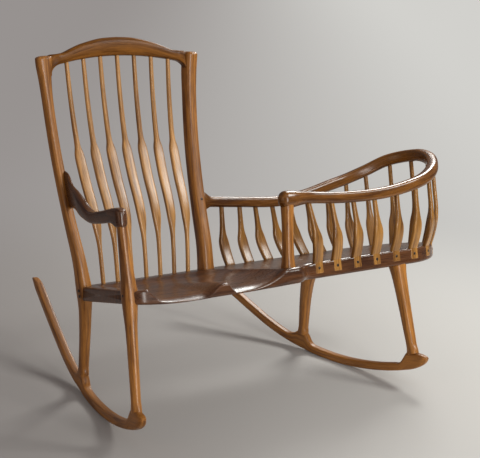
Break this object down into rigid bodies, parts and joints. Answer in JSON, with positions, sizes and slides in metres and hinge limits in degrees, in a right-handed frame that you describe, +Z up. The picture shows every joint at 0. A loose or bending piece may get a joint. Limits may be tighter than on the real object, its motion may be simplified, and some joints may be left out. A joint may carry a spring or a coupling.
{
  "type": "rocking chair with side cradle",
  "caption": "Sculpted walnut rocking chair whose seat plank runs on at one side as a cradle, walled by a bent rail on pegged slats, all on two curved rockers.",
  "frame": {"origin": "on the floor, under the middle of the chair's bounding box", "axes": "+X from the seat to the cradle at the chair's side, the longest way across it and the sitter's left; -Y out of the front of the seat; +Z up. The names of nodes say left and right as seen from the front."},
  "size_m": [1.5014, 1.0856, 1.1273],
  "materials": {
    "walnut": "oiled walnut, golden brown, satin",
    "pale_walnut": "oiled walnut, pale straight-grained stock, satin",
    "red_walnut": "oiled walnut, reddish brown, satin to glossy",
    "dark_walnut": "oiled walnut, dark chocolate heartwood, glossy"
  },
  "bodies": {
    "root": {"seat_plank": "dark_walnut", "left_back_post": "walnut", "right_back_post": "walnut", "left_front_leg": "walnut", "cradle_front_post": "walnut", "crest_rail": "red_walnut", "back_spindle_1": "pale_walnut", "back_spindle_2": "pale_walnut", "back_spindle_3": "pale_walnut", "back_spindle_4": "pale_walnut", "back_spindle_5": "pale_walnut", "back_spindle_6": "pale_walnut", "back_spindle_7": "pale_walnut", "left_arm": "dark_walnut", "right_rear_leg": "walnut", "right_front_leg": "walnut", "left_rocker": "walnut", "right_rocker": "walnut", "cradle_rail": "red_walnut", "cradle_slat_1": "pale_walnut", "cradle_slat_2": "pale_walnut", "cradle_slat_3": "pale_walnut", "cradle_slat_4": "pale_walnut", "cradle_slat_5": "pale_walnut", "cradle_slat_6": "pale_walnut", "cradle_slat_7": "pale_walnut", "cradle_slat_8": "pale_walnut", "cradle_slat_9": "pale_walnut", "cradle_slat_10": "pale_walnut", "cradle_slat_11": "pale_walnut", "cradle_slat_12": "pale_walnut", "cradle_slat_13": "pale_walnut", "cradle_slat_14": "pale_walnut", "cradle_slat_15": "pale_walnut", "cradle_slat_16": "pale_walnut", "cradle_slat_17": "pale_walnut", "cradle_slat_18": "pale_walnut", "cradle_slat_19": "pale_walnut", "cradle_slat_20": "pale_walnut"}
  },
  "joints": []
}
